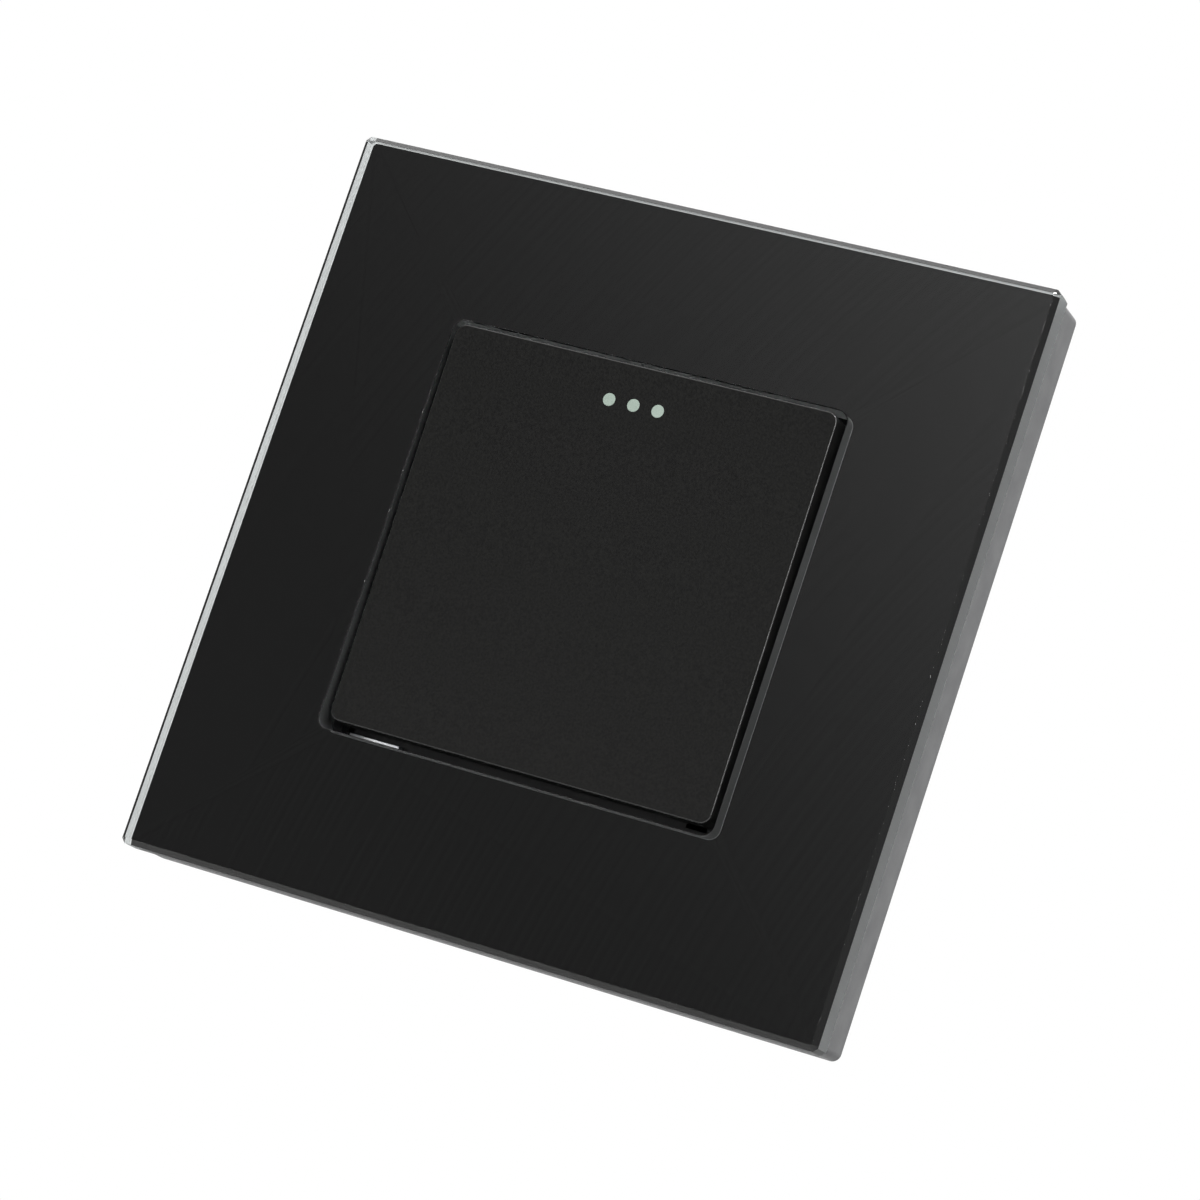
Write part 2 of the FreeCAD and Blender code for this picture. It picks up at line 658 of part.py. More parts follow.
def make_module_cover():
    body = new_body("module_cover")
    flange = sketch(body, "flange", FLANGE_FRONT)
    rounded_rectangle(flange, FLANGE_SIDE, FLANGE_SIDE, "flange_corner")
    pad(body, flange, "flange_thick")
    tongue = sketch(body, "tongue", f"({YOKE_FRONT} - tongue_thick)")
    width = f"({FLANGE_SIDE} - 2 * tongue_step)"
    rounded_rectangle(tongue, width, "(cutout_side - 2 * tongue_gap)", "flange_corner")
    pad(body, tongue, "tongue_thick")
    spigot = sketch(body, "spigot", YOKE_FRONT)
    inside = f"({SPIGOT_SIDE} - 2 * spigot_wall)"
    rounded_rectangle(spigot, SPIGOT_SIDE, SPIGOT_SIDE, "window_corner")
    rounded_rectangle(spigot, inside, inside, "window_corner / 2")
    pad(body, spigot, "spigot_depth")
    for name, (side_sign, row) in CORNERS.items():
        boss = sketch(body, f"boss_{name}", YOKE_FRONT)
        circle(boss, f"{side_sign} * {SCREW_PLACE}", f"{row} * {SCREW_PLACE}", BOSS_RADIUS)
        pad(body, boss, "spigot_depth")
    root = f"({YOKE_FRONT} - flange_thick / 2)"
    for name, side_sign in (("right", 1), ("left", -1)):
        add_lug(body, name, side_sign, root)
        add_bracket(body, name, side_sign, root)
    for name, (side_sign, row) in TERMINALS.items():
        post = sketch(body, f"{name}_post", root)
        middle = f"{side_sign} * {TERMINAL_PLACE}"
        rectangle(post, f"{middle} - post_side / 2", f"{middle} + post_side / 2",
                  f"{row} * contact_arm - post_side / 2", f"{row} * contact_arm + post_side / 2")
        pad(body, post, f"{CAGE_FRONT} - post_play - {root}")
    window = sketch(body, "finger_window", FLANGE_FRONT)
    wide = "(finger_width / 2 + finger_play / 2)"
    high = "(nose_radius + nose_play + fork_wall + finger_play)"
    rectangle(window, f"-{wide}", wide, f"-{high}", high)
    pocket(body, window, "flange_thick")
    screw_holes = sketch(body, "screw_holes", f"({YOKE_FRONT} - screw_bite / 2)")
    for side_sign, row in CORNERS.values():
        place = (f"{side_sign} * {SCREW_PLACE}", f"{row} * {SCREW_PLACE}")
        circle(screw_holes, *place, "screw_radius + thread_play")
    pocket(body, screw_holes, "spigot_depth + screw_bite")
    return body


def add_lug(body, name, side_sign, root):
    """A lug in front of the flange, bored for one of the carrier's pins."""
    bore = "(pin_radius + pin_play)"
    front = f"({ROCKER_AXIS} - {bore} - lug_nose)"
    half = f"({bore} + lug_wall)"
    lug = sketch(body, f"lug_{name}", front)
    rectangle(lug, f"{side_sign} * {LUG_START}", f"{side_sign} * ({LUG_START} + lug_thick)", f"-{half}", half)
    pad(body, lug, f"{root} - {front}")
    add_cross_bore(body, f"lug_bore_{name}", side_sign, LUG_START, "lug_thick", ROCKER_AXIS, bore)


def add_bracket(body, name, side_sign, root):
    """A bracket behind the flange, bored for one of the swing arm's pins."""
    bore = "(arm_pin_radius + pin_play)"
    half = f"({bore} + bracket_wall)"
    bracket = sketch(body, f"bracket_{name}", root)
    rectangle(bracket, f"{side_sign} * {BRACKET_START}", f"{side_sign} * ({BRACKET_START} + bracket_thick)",
              f"-{half}", half)
    pad(body, bracket, f"{SWING_AXIS} + {bore} + bracket_end - {root}")
    add_cross_bore(body, f"bracket_bore_{name}", side_sign, BRACKET_START, "bracket_thick", SWING_AXIS, bore)


def add_cross_bore(body, name, side_sign, near, thick, level, radius):
    """A bore along X through a wall that starts at a distance to the right or left of the middle."""
    start = near if side_sign > 0 else f"(-{near} - {thick})"
    bore = sketch(body, name, start, SIDE_VIEW)
    circle(bore, level, "0", radius)
    pocket(body, bore, thick)


def make_module_base():
    body = new_body("module_base")
    block = sketch(body, "block", "0")
    rounded_rectangle(block, BASE_SIDE, BASE_SIDE, "base_corner")
    pad(body, block, BASE_BACK)
    dress(body, "Chamfer", "base_back_edge", in_ring(BASE_BACK, "0", BASE_SIDE))
    recess = sketch(body, "recess", "0")
    side = f"({SPIGOT_SIDE} + 2 * recess_play)"
    rounded_rectangle(recess, side, side, "window_corner")
    pocket(body, recess, f"{SPIGOT_BACK} + recess_play")
    deep = f"{FLOOR_FRONT} - {SPIGOT_BACK}"
    cavity = sketch(body, "cavity", SPIGOT_BACK)
    rectangle(cavity, f"-{CAVITY_X}", CAVITY_X, f"-{CAVITY_Z}", CAVITY_Z)
    pocket(body, cavity, deep)
    for name, (side_sign, row) in TERMINALS.items():
        add_terminal_space(body, name, side_sign, row, deep)
    holes = sketch(body, "screw_holes", "0")
    sinks = sketch(body, "screw_sinks", f"({BASE_BACK} - screw_sink)")
    for side_sign, row in CORNERS.values():
        place = (f"{side_sign} * {SCREW_PLACE}", f"{row} * {SCREW_PLACE}")
        circle(holes, *place, "screw_radius + channel_play")
        circle(sinks, *place, "screw_head_radius + head_play")
    pocket(body, holes, BASE_BACK)
    pocket(body, sinks, "screw_sink")
    return body


def add_terminal_space(body, name, side_sign, row, deep):
    """The pocket of one terminal cage, the channel of its strip, its wire entry and its screw's way in."""
    space = sketch(body, f"{name}_pocket", SPIGOT_BACK)
    middle = f"{side_sign} * {TERMINAL_PLACE}"
    half_width = "(cage_width / 2 + cage_play)"
    half_height = "(cage_height / 2 + cage_play)"
    rectangle(space, f"{middle} - {half_width}", f"{middle} + {half_width}",
              f"{row} * contact_arm - {half_height}", f"{row} * contact_arm + {half_height}")
    pocket(body, space, deep)
    channel = sketch(body, f"{name}_channel", SPIGOT_BACK)
    half = "(strip_width / 2 + channel_play)"
    near = f"{side_sign} * ({CAVITY_X} - channel_play)"
    far = f"{side_sign} * {CAGE_NEAR}"
    rectangle(channel, near, far, f"{row} * contact_arm - {half}", f"{row} * contact_arm + {half}")
    pocket(body, channel, deep)
    entry = sketch(body, f"{name}_wire_entry", FLOOR_FRONT)
    circle(entry, f"{side_sign} * {WIRE_PLACE}", f"{row} * contact_arm", "wire_radius")
    pocket(body, entry, "base_floor")
    start = CAGE_FAR if side_sign > 0 else f"(-{BASE_SIDE} / 2)"
    access = sketch(body, f"{name}_screw_way", start, SIDE_VIEW)
    circle(access, CLAMP_LEVEL, f"{row} * contact_arm", "clamp_head_radius + head_play")
    pocket(body, access, f"{BASE_SIDE} / 2 - {CAGE_FAR}")


def make_module_screws():
    body = new_body("module_screws")
    front = f"({YOKE_FRONT} - screw_bite / 2 + thread_play)"
    seat = f"({BASE_BACK} - screw_sink)"
    shanks = sketch(body, "shanks", front)
    heads = sketch(body, "heads", seat)
    for side_sign, row in CORNERS.values():
        circle(shanks, f"{side_sign} * {SCREW_PLACE}", f"{row} * {SCREW_PLACE}", "screw_radius")
        circle(heads, f"{side_sign} * {SCREW_PLACE}", f"{row} * {SCREW_PLACE}", "screw_head_radius")
    pad(body, shanks, f"{seat} - {front}")
    pad(body, heads, "screw_head_thick")
    slim = "slot_width / 2"
    for name, wide, tall in (("level", "cross_reach", slim), ("upright", slim, "cross_reach")):
        cross = sketch(body, f"cross_{name}", f"({seat} + screw_head_thick - slot_depth)")
        for side_sign, row in CORNERS.values():
            across = f"{side_sign} * {SCREW_PLACE}"
            up = f"{row} * {SCREW_PLACE}"
            rectangle(cross, f"{across} - {wide}", f"{across} + {wide}", f"{up} - {tall}", f"{up} + {tall}")
        pocket(body, cross, "slot_depth")
    return body


def make_swing_arm():
    body = new_body("swing_arm")
    hub_radius = "(arm_pin_radius + hub_wall)"
    nose = sketch(body, "nose", "(-fork_width / 2)", SIDE_VIEW)
    circle(nose, FORK_LEVEL, "0", "nose_radius")
    pad(body, nose, "fork_width")
    web = sketch(body, "web", "(-fork_width / 2)", SIDE_VIEW)
    rectangle(web, FORK_LEVEL, SWING_AXIS, "-web_thick / 2", "web_thick / 2")
    pad(body, web, "fork_width")
    hub = sketch(body, "hub", "(-hub_width / 2)", SIDE_VIEW)
    circle(hub, SWING_AXIS, "0", hub_radius)
    pad(body, hub, "hub_width")
    pins = sketch(body, "pins", "(-hub_width / 2 - arm_pin_length)", SIDE_VIEW)
    circle(pins, SWING_AXIS, "0", "arm_pin_radius")
    pad(body, pins, "hub_width + 2 * arm_pin_length")
    tube = sketch(body, "tube", f"({SWING_AXIS} + tube_start)")
    circle(tube, "0", "0", "bore_radius + tube_wall")
    pad(body, tube, f"{TUBE_END} - tube_start")
    neck = sketch(body, "neck", SWING_AXIS)
    rectangle(neck, "-fork_width / 2", "fork_width / 2", f"-{hub_radius}", hub_radius)
    pad(body, neck, "(tube_start + bore_start) / 2")
    bore = sketch(body, "bore", f"({SWING_AXIS} + bore_start)")
    circle(bore, "0", "0", "bore_radius")
    pocket(body, bore, f"{TUBE_END} - bore_start")
    tilt(body, SWING_AXIS, SWING_TILT)
    return body


def make_plunger():
    body = new_body("plunger")
    cup_radius = "(bore_radius - cup_play)"
    cup = sketch(body, "cup", f"({SWING_AXIS} + {CUP_START})")
    circle(cup, "0", "0", cup_radius)
    pad(body, cup, "cup_length")
    well = sketch(body, "well", f"({SWING_AXIS} + {CUP_START})")
    circle(well, "0", "0", f"({cup_radius} - cup_wall)")
    pocket(body, well, "cup_length - cup_floor")
    tip = sketch(body, "tip", f"({SWING_AXIS} + {CUP_END} - cup_floor / 2)")
    circle(tip, "0", "0", "tip_radius")
    pad(body, tip, "tip_length + cup_floor / 2")
    end = in_ring(f"({SWING_AXIS} + {TIP_REACH})", "-tip_radius", "2 * tip_radius")
    dress(body, "Fillet", "min(tip_round; 0.95 * tip_radius)", end)
    tilt(body, SWING_AXIS, SWING_TILT)
    return body


def touching_arc(start, heading, end):
    """The arc that leaves a point along a heading and ends at another point."""
    chord = end - start
    along = Vector(chord).normalize()
    aside = (heading - along * heading.dot(along)).normalize()
    rise = chord.Length / 2 * math.tan(heading.getAngle(chord) / 2)
    return Part.Arc(start, start + chord / 2 + aside * rise, end).toShape()


def helix_stretch(radius, pitch, start_angle, end_angle):
    """Two arcs that meet smoothly and follow a helix about the Z axis from one angle to another."""
    climb = pitch / (2 * math.pi)

    def place(angle):
        return Vector(radius * math.cos(angle), radius * math.sin(angle), climb * angle)

    def heading(angle):
        return Vector(-radius * math.sin(angle), radius * math.cos(angle), climb).normalize()

    first, last = place(start_angle), place(end_angle)
    out, into = heading(start_angle), heading(end_angle)
    chord = last - first
    spread = 2 * (1 - out.dot(into))
    lean = chord.dot(out + into)
    reach = (math.sqrt(lean ** 2 + spread * chord.dot(chord)) - lean) / spread
    joint = (first + last + (out - into) * reach) / 2
    along = (last - joint).normalize()
    return [touching_arc(first, out, joint), touching_arc(joint, along * (2 * into.dot(along)) - into, last)]


def least_gap(path, points_a_turn, turns, wire_radius):
    """The least distance between two turns of a wire, measured on points of its path."""
    points = path.discretize(Number=round(points_a_turn * turns) + 1)
    apart = points_a_turn // 2
    pairs = [(one, two) for step, one in enumerate(points) for two in points[step + apart:]]
    return min(one.distanceToPoint(two) for one, two in pairs) - 2 * wire_radius


def make_plunger_spring():
    """A coil between the bottom of the arm's bore and the floor of the plunger's cup."""
    wire_radius = number("spring_wire / 2")
    radius = number("bore_radius - cup_play - cup_wall - spring_play") - wire_radius
    pitch = number(f"({CUP_END} - cup_floor - bore_start - 2 * spring_play - spring_wire) / spring_turns")
    turns = number("spring_turns")
    quarters = round(4 * turns)
    quarter = 2 * math.pi * turns / quarters
    edges = []
    for step in range(quarters):
        edges += helix_stretch(radius, pitch, step * quarter, (step + 1) * quarter)
    path = Part.Wire(edges)
    heading = Vector(0, radius, pitch / (2 * math.pi))
    section = Part.Wire(Part.Circle(Vector(radius, 0, 0), heading, wire_radius).toShape())
    coil = document.addObject("Part::Feature", "plunger_spring")
    coil.Label = "plunger_spring"
    coil.Shape = path.makePipeShell([section], True, False)
    axis = Vector(0, number(SWING_AXIS), 0)
    foot = Vector(0, number(f"{SWING_AXIS} + bore_start + spring_play") + wire_radius, 0)
    swing = Rotation(Vector(1, 0, 0), number(SWING_TILT))
    lay = Rotation(Vector(1, 0, 0), -90)
    coil.Placement = FreeCAD.Placement(axis + swing.multVec(foot - axis), swing.multiply(lay))
    print(f"least gap between the spring's turns {least_gap(path, 36, turns, wire_radius):.2f} mm")
    return coil


def make_contact_blade():
    body = new_body("contact_blade")
    end = "(contact_arm + blade_over)"
    blade_front = f"({BLADE_AXIS} - blade_thick)"
    plate = sketch(body, "plate", blade_front)
    rounded_rectangle(plate, "blade_width", f"2 * {end}", "blade_over / 2")
    pad(body, plate, "blade_thick")
    saddle = sketch(body, "saddle", "(-blade_width / 2)", SIDE_VIEW)
    circle(saddle, BLADE_AXIS, "0", SADDLE_OUTSIDE)
    pad(body, saddle, "blade_width")
    trim = sketch(body, "trim", "(-blade_width)", SIDE_VIEW)
    wide = f"(2 * {SADDLE_OUTSIDE})"
    rectangle(trim, BLADE_AXIS, f"({BLADE_AXIS} + {wide})", f"-{wide}", wide)
    pocket(body, trim, "2 * blade_width")
    groove = sketch(body, "groove", "(-blade_width)", SIDE_VIEW)
    circle(groove, BLADE_AXIS, "0", "saddle_radius")
    pocket(body, groove, "2 * blade_width")
    holes = sketch(body, "rivet_holes", blade_front)
    for row in SIDES:
        circle(holes, "0", f"{row} * contact_arm", "rivet_radius + rivet_play")
    pocket(body, holes, "blade_thick")
    tilt(body, BLADE_AXIS, "blade_tilt")
    return body


def make_moving_contact(name, row):
    body = new_body(f"{name}_moving_contact")
    shank = sketch(body, "shank", f"({BLADE_AXIS} - blade_thick)")
    circle(shank, "0", f"{row} * contact_arm", "rivet_radius")
    pad(body, shank, "blade_thick")
    head = sketch(body, "head", BLADE_AXIS)
    circle(head, "0", f"{row} * contact_arm", "contact_radius")
    pad(body, head, "moving_proud")
    tilt(body, BLADE_AXIS, "blade_tilt")
    return body


def make_fixed_contact(name, row):
    body = new_body(f"{name}_fixed_contact")
    head = sketch(body, "head", FIXED_FACE)
    circle(head, "0", f"{row} * contact_arm", "contact_radius")
    pad(body, head, "fixed_proud")
    shank = sketch(body, "shank", STRIP_FRONT)
    circle(shank, "0", f"{row} * contact_arm", "rivet_radius")
    pad(body, shank, "strip_thick")
    return body


def make_switched_strip(name, row):
    """A brass strip from under a fixed contact to its terminal, with a leg bent up into the cage."""
    body = new_body(f"{name}_strip")
    low = f"{row} * contact_arm - strip_width / 2"
    high = f"{row} * contact_arm + strip_width / 2"
    floor = sketch(body, "floor", STRIP_FRONT)
    rectangle(floor, "-strip_tail", f"{LEG_START} + strip_thick", low, high)
    pad(body, floor, "strip_thick")
    add_leg(body, 1, low, high)
    hole = sketch(body, "rivet_hole", STRIP_FRONT)
    circle(hole, "0", f"{row} * contact_arm", "rivet_radius + rivet_play")
    pocket(body, hole, "strip_thick")
    return body


def add_leg(body, side_sign, low, high):
    leg = sketch(body, "leg", f"({CAGE_FRONT} + cage_wall)")
    rectangle(leg, f"{side_sign} * {LEG_START}", f"{side_sign} * ({LEG_START} + strip_thick)", low, high)
    pad(body, leg, f"{FLOOR_FRONT} - {CAGE_FRONT} - cage_wall")


def make_common_strip():
    """The brass strip from the common terminal to the knife edge that the blade rocks on."""
    body = new_body("common_strip")
    side_sign, row = TERMINALS["common"]
    low = f"{row} * contact_arm - strip_width / 2"
    high = f"{row} * contact_arm + strip_width / 2"
    turn = f"(channel_play - {CAVITY_X})"
    outside = f"(-{LEG_START} - strip_thick)"
    floor = sketch(body, "floor", STRIP_FRONT)
    outline(floor, [
        (outside, low), (turn, low), (turn, "-strip_width / 2"), ("strip_tail", "-strip_width / 2"),
        ("strip_tail", "strip_width / 2"), (f"{turn} + strip_width", "strip_width / 2"),
        (f"{turn} + strip_width", high), (outside, high)])
    pad(body, floor, "strip_thick")
    add_leg(body, side_sign, low, high)
    wall = sketch(body, "knife_wall", "(-knife_width / 2)", SIDE_VIEW)
    rectangle(wall, BLADE_AXIS, f"{FLOOR_FRONT} - strip_thick / 2", "-knife_radius", "knife_radius")
    pad(body, wall, "knife_width")
    edge = sketch(body, "knife_edge", "(-knife_width / 2)", SIDE_VIEW)
    circle(edge, BLADE_AXIS, "0", "knife_radius")
    pad(body, edge, "knife_width")
    return body


def make_cage(name, side_sign, row):
    """A square brass tube that clamps the wire against the strip's leg."""
    body = new_body(f"{name}_cage")
    tube = sketch(body, "tube", CAGE_FRONT)
    low = f"{row} * contact_arm - cage_height / 2"
    high = f"{row} * contact_arm + cage_height / 2"
    rectangle(tube, f"{side_sign} * {CAGE_NEAR}", f"{side_sign} * {CAGE_FAR}", low, high)
    near = f"{side_sign} * ({CAGE_NEAR} + cage_wall)"
    far = f"{side_sign} * ({CAGE_FAR} - cage_thread_wall)"
    rectangle(tube, near, far, f"{low} + cage_wall", f"{high} - cage_wall")
    pad(body, tube, "cage_depth")
    start = f"({CAGE_FAR} - cage_thread_wall)" if side_sign > 0 else f"(-{CAGE_FAR})"
    thread = sketch(body, "thread", start, SIDE_VIEW)
    circle(thread, CLAMP_LEVEL, f"{row} * contact_arm", "clamp_radius + thread_play")
    pocket(body, thread, "cage_thread_wall")
    return body


def make_terminal_screws():
    body = new_body("terminal_screws")
    seat = f"({CAGE_FAR} + thread_play)"
    inner = f"({seat} - cage_thread_wall)"
    outer = f"({seat} + clamp_head_thick)"
    bottom = f"({outer} - slot_depth)"
    for name, (side_sign, row) in TERMINALS.items():
        up = f"{row} * contact_arm"
        starts = (inner, seat, bottom) if side_sign > 0 else (f"(-{seat})", f"(-{outer})", f"(-{outer})")
        stem = sketch(body, f"{name}_shank", starts[0], SIDE_VIEW)
        circle(stem, CLAMP_LEVEL, up, "clamp_radius")
        pad(body, stem, "cage_thread_wall")
        head = sketch(body, f"{name}_head", starts[1], SIDE_VIEW)
        circle(head, CLAMP_LEVEL, up, "clamp_head_radius")
        pad(body, head, "clamp_head_thick")
        slot = sketch(body, f"{name}_slot", starts[2], SIDE_VIEW)
        rectangle(slot, f"{CLAMP_LEVEL} - 2 * clamp_head_radius", f"{CLAMP_LEVEL} + 2 * clamp_head_radius",
                  f"{up} - slot_width / 2", f"{up} + slot_width / 2")
        pocket(body, slot, "slot_depth")
    return body


pieces = [
    make_glass_panel(),
    make_back_print(),
    make_adhesive_tape(),
    make_panel_frame(),
    make_mounting_yoke(),
    make_rocker_key(),
    make_dot_insert(),
    make_rocker_carrier(),
    make_module_cover(),
    make_module_base(),
    make_module_screws(),
    make_swing_arm(),
    make_plunger(),
    make_plunger_spring(),
    make_contact_blade(),
    make_common_strip(),
    make_terminal_screws(),
]
for name, row in (("upper", 1), ("lower", -1)):
    pieces.append(make_moving_contact(name, row))
    pieces.append(make_fixed_contact(name, row))
    pieces.append(make_switched_strip(name, row))
for name, (side_sign, row) in TERMINALS.items():
    pieces.append(make_cage(name, side_sign, row))

document.recompute()
for item in document.Objects:
    if "Invalid" in item.State or "Error" in item.State:
        raise ValueError(f"{item.Name} has failed")
for piece in pieces:
    if piece.Shape.isNull() or not piece.Shape.isValid():
        raise ValueError(f"{piece.Label} has no valid shape")

os.makedirs("parts", exist_ok=True)
for piece in pieces:
    piece.Shape.exportStep(f"parts/{piece.Label}.step")
    box = piece.Shape.BoundBox
    print(f"{piece.Label}: {len(piece.Shape.Solids)} solids, {piece.Shape.Volume:.2f} mm3, "
          f"X {box.XMin:.2f}..{box.XMax:.2f}, Y {box.YMin:.2f}..{box.YMax:.2f}, "
          f"Z {box.ZMin:.2f}..{box.ZMax:.2f}")
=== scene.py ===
import math

import bmesh
import bpy
from mathutils import Matrix, Vector


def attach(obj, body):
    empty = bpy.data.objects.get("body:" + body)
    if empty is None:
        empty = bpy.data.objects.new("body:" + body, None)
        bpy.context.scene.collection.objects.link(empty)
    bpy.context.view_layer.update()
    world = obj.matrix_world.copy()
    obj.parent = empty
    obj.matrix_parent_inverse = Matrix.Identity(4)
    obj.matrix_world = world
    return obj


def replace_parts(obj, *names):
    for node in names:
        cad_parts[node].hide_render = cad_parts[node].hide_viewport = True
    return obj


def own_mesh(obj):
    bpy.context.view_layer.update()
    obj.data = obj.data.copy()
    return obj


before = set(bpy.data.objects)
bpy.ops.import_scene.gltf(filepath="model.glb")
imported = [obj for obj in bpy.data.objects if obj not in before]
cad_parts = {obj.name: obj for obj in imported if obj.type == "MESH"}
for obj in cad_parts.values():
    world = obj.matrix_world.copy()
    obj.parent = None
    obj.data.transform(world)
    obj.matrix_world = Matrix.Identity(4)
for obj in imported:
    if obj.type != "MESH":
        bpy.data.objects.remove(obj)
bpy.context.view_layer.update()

# The picture is taken from the right and a little below, nearly half a metre away, with a long lens
# and the camera rolled to one side.
camera = bpy.data.objects.new("camera", bpy.data.cameras.new("camera"))
camera.data.lens = 131.5
camera.data.sensor_width = 36
camera.data.shift_y = -0.0015
camera.data.clip_start = 0.01
camera.location = (0.19206, -0.44364, -0.07460)
camera.rotation_euler = [math.radians(angle) for angle in (99.140, -18.338, 20.580)]
bpy.context.scene.collection.objects.link(camera)
bpy.context.scene.camera = camera
bpy.context.scene.view_settings.view_transform = "Standard"

# The room is a pale studio: white behind the switch, a soft light overhead, and dimmer walls in front
# and on the left. The wall in front is brighter towards the upper right, as the glass mirrors it.
BEHIND_LIGHT = 1.45
OVERHEAD_LIGHT = 1.7
FRONT_DIM = 0.32
FRONT_RISE = 0.95
FRONT_FALL = 0.45
SIDE_SHADE = 0.38
LEFT_LIGHT = 1.15
FLAG_DIRECTION = (-0.905, 0.39, 0.152)
FLAG_SHADE = 0.05
# Each span says where a wall or shade begins and where it is whole, as a share of a direction.
RISE_SPAN = (-0.33, -0.03)
FALL_SPAN = (0.1, 0.35)
SHADE_SPAN = (-0.55, -0.8)
BEHIND_SPAN = (0.2, 0.5)
LEFT_SPAN = (-0.6, -0.8)
LEFT_DEPTH = (-0.3, 0.0)
OVERHEAD_SPAN = (0.4, 0.75)
FLAG_SPAN = (0.97, 0.985)

world = bpy.data.worlds.new("studio")
world.use_nodes = True
bpy.context.scene.world = world


def wire(tree, kind, inputs, **settings):
    """A new node with its inputs linked from sockets or set to values."""
    node = tree.nodes.new(kind)
    for name, value in settings.items():
        setattr(node, name, value)
    for key, value in inputs.items():
        if isinstance(value, bpy.types.NodeSocket):
            tree.links.new(value, node.inputs[key])
        else:
            node.inputs[key].default_value = value
    return node


def ramp(tree, value, low, high, least, most, smooth=True):
    """The value's range from low to high turned into another range, and held at its ends."""
    node = wire(tree, "ShaderNodeMapRange", {0: value, 1: low, 2: high, 3: least, 4: most})
    node.interpolation_type = "SMOOTHSTEP" if smooth else "LINEAR"
    return node.outputs[0]


def maths(tree, operation, *values):
    return wire(tree, "ShaderNodeMath", dict(enumerate(values)), operation=operation).outputs[0]


sky = world.node_tree
direction_vector = sky.nodes.new("ShaderNodeTexCoord").outputs["Generated"]
right, inwards, upwards = wire(sky, "ShaderNodeSeparateXYZ", {0: direction_vector}).outputs
climb = ramp(sky, maths(sky, "ADD", right, upwards), *RISE_SPAN, 0.0, 1.0, smooth=False)
fall = ramp(sky, maths(sky, "ADD", right, upwards), *FALL_SPAN, 1.0, FRONT_FALL)
front = maths(sky, "MULTIPLY_ADD", maths(sky, "POWER", climb, 2.0), FRONT_RISE, FRONT_DIM)
front = maths(sky, "MULTIPLY", front, fall)
shade = ramp(sky, right, *SHADE_SPAN, 1.0, SIDE_SHADE)
behind = ramp(sky, inwards, *BEHIND_SPAN, 0.0, BEHIND_LIGHT)
left_wall = ramp(sky, right, *LEFT_SPAN, 0.0, LEFT_LIGHT)
beside = maths(sky, "MULTIPLY", left_wall, ramp(sky, inwards, *LEFT_DEPTH, 0.0, 1.0))
overhead = ramp(sky, upwards, *OVERHEAD_SPAN, 0.0, OVERHEAD_LIGHT)
around = maths(sky, "MAXIMUM", maths(sky, "MAXIMUM", behind, beside), overhead)
from_flag = wire(sky, "ShaderNodeVectorMath", {0: direction_vector, 1: FLAG_DIRECTION},
                 operation="DOT_PRODUCT").outputs[1]
flagged = maths(sky, "MULTIPLY", around, ramp(sky, from_flag, *FLAG_SPAN, 1.0, FLAG_SHADE))
level = maths(sky, "MAXIMUM", maths(sky, "MULTIPLY", front, shade), flagged)
seen = sky.nodes.new("ShaderNodeLightPath").outputs["Is Camera Ray"]
strength = wire(sky, "ShaderNodeMix", {0: seen, 2: level, 3: 1.0}).outputs[0]
sky.links.new(strength, sky.nodes["Background"].inputs["Strength"])
sky.nodes["Background"].inputs["Color"].default_value = (1.0, 1.0, 1.0, 1.0)

# A softbox stands high on the right and a tall narrow one beside the camera, where only rounded edges
# mirror them, and a small spot overhead. The plated yoke mirrors a card low on the left through the gap.


def lamp(name, width, height, power, place):
    """A rectangular lamp that faces the switch."""
    light = bpy.data.objects.new(name, bpy.data.lights.new(name, "AREA"))
    light.data.shape = "RECTANGLE"
    light.data.size = width
    light.data.size_y = height
    light.data.energy = power
    light.location = place
    light.rotation_euler = (-Vector(place)).to_track_quat("-Z", "Y").to_euler()
    bpy.context.scene.collection.objects.link(light)


lamp("softbox", 0.2, 0.2, 4.0, (0.44, -0.22, 1.0))
lamp("strip_box", 0.1, 0.7, 4.0, (0.56, -0.80, 0.35))
lamp("top_spot", 0.08, 0.08, 2.0, (-0.15, 0.055, 0.98))
lamp("card", 0.2, 0.08, 0.16, (-0.30, -0.64, -0.085))

# The floor is a sheet of plain pale paper well below the switch, which hangs at its height on the wall.
# It is no part of the switch, and its tone drifts a little, as paper does.
FLOOR_LEVEL = -0.25
FLOOR_HALF = 1.6
PALE, SECOND_PALE = (0.52, 0.52, 0.52), (0.56, 0.56, 0.555)
floor_shape = bmesh.new()
bmesh.ops.create_grid(floor_shape, x_segments=1, y_segments=1, size=FLOOR_HALF)
bmesh.ops.translate(floor_shape, verts=floor_shape.verts, vec=(0, 0, FLOOR_LEVEL))
floor = bpy.data.objects.new("floor", bpy.data.meshes.new("floor"))
floor_shape.to_mesh(floor.data)
floor_shape.free()
bpy.context.scene.collection.objects.link(floor)
paper = bpy.data.materials.new("pale_paper")
paper.use_nodes = True
paper.node_tree.nodes["Principled BSDF"].inputs["Roughness"].default_value = 0.8
fibres = wire(paper.node_tree, "ShaderNodeTexNoise",
              {"Vector": paper.node_tree.nodes.new("ShaderNodeTexCoord").outputs["Object"], "Scale": 3.0})
tints = {0: fibres.outputs[0], 6: (*PALE, 1), 7: (*SECOND_PALE, 1)}
tint = wire(paper.node_tree, "ShaderNodeMix", tints, data_type="RGBA")
paper.node_tree.links.new(tint.outputs[2], paper.node_tree.nodes["Principled BSDF"].inputs["Base Color"])
floor.data.materials.append(paper)

# The yoke is a square of 0.8 mm steel sheet, pressed with a rim and bright zinc plated. Its window holds
# the switch module, and its slots take the screws of the wall box.
MM = 0.001


